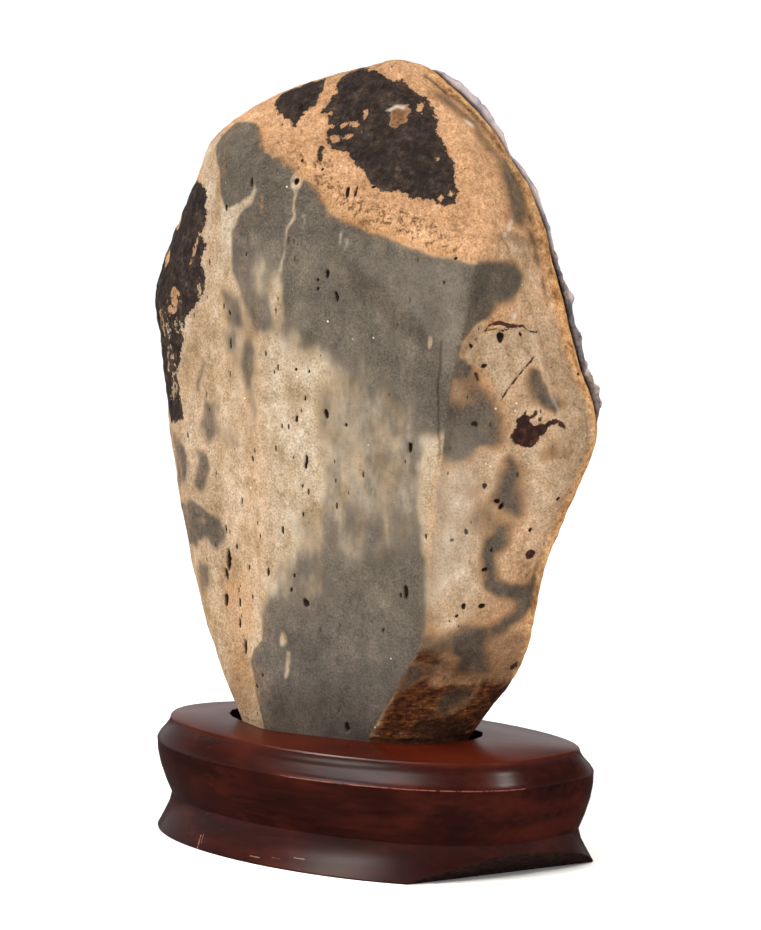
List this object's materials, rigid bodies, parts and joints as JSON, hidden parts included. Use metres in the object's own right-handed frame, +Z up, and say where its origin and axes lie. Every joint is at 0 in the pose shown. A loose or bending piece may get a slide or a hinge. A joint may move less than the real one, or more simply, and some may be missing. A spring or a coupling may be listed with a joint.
{
  "type": "rough rose chalcedony on wooden stand",
  "caption": "Upright rough chalcedony-bearing stone with a ground front face and a botryoidal crust on its back, resting in the carved socket of an oval moulded wooden stand.",
  "frame": {"origin": "centre of the stand's flat underside, on the surface it stands on", "axes": "+Z up, X along the long axis of the stand, and the stone's broad ground face towards -Y"},
  "size_m": [0.1945, 0.0944, 0.3003],
  "materials": {
    "lacquered_wood": "dark red-brown lacquer, satin, raw at the under-cut bevel",
    "matrix_rock": "ground grey and cream face, rough tan rind with black patches",
    "chalcedony": "waxy translucent grey-rose lumps"
  },
  "bodies": {
    "root": {"stand": "lacquered_wood", "rock": "matrix_rock", "chalcedony_crust": "chalcedony"}
  },
  "joints": []
}
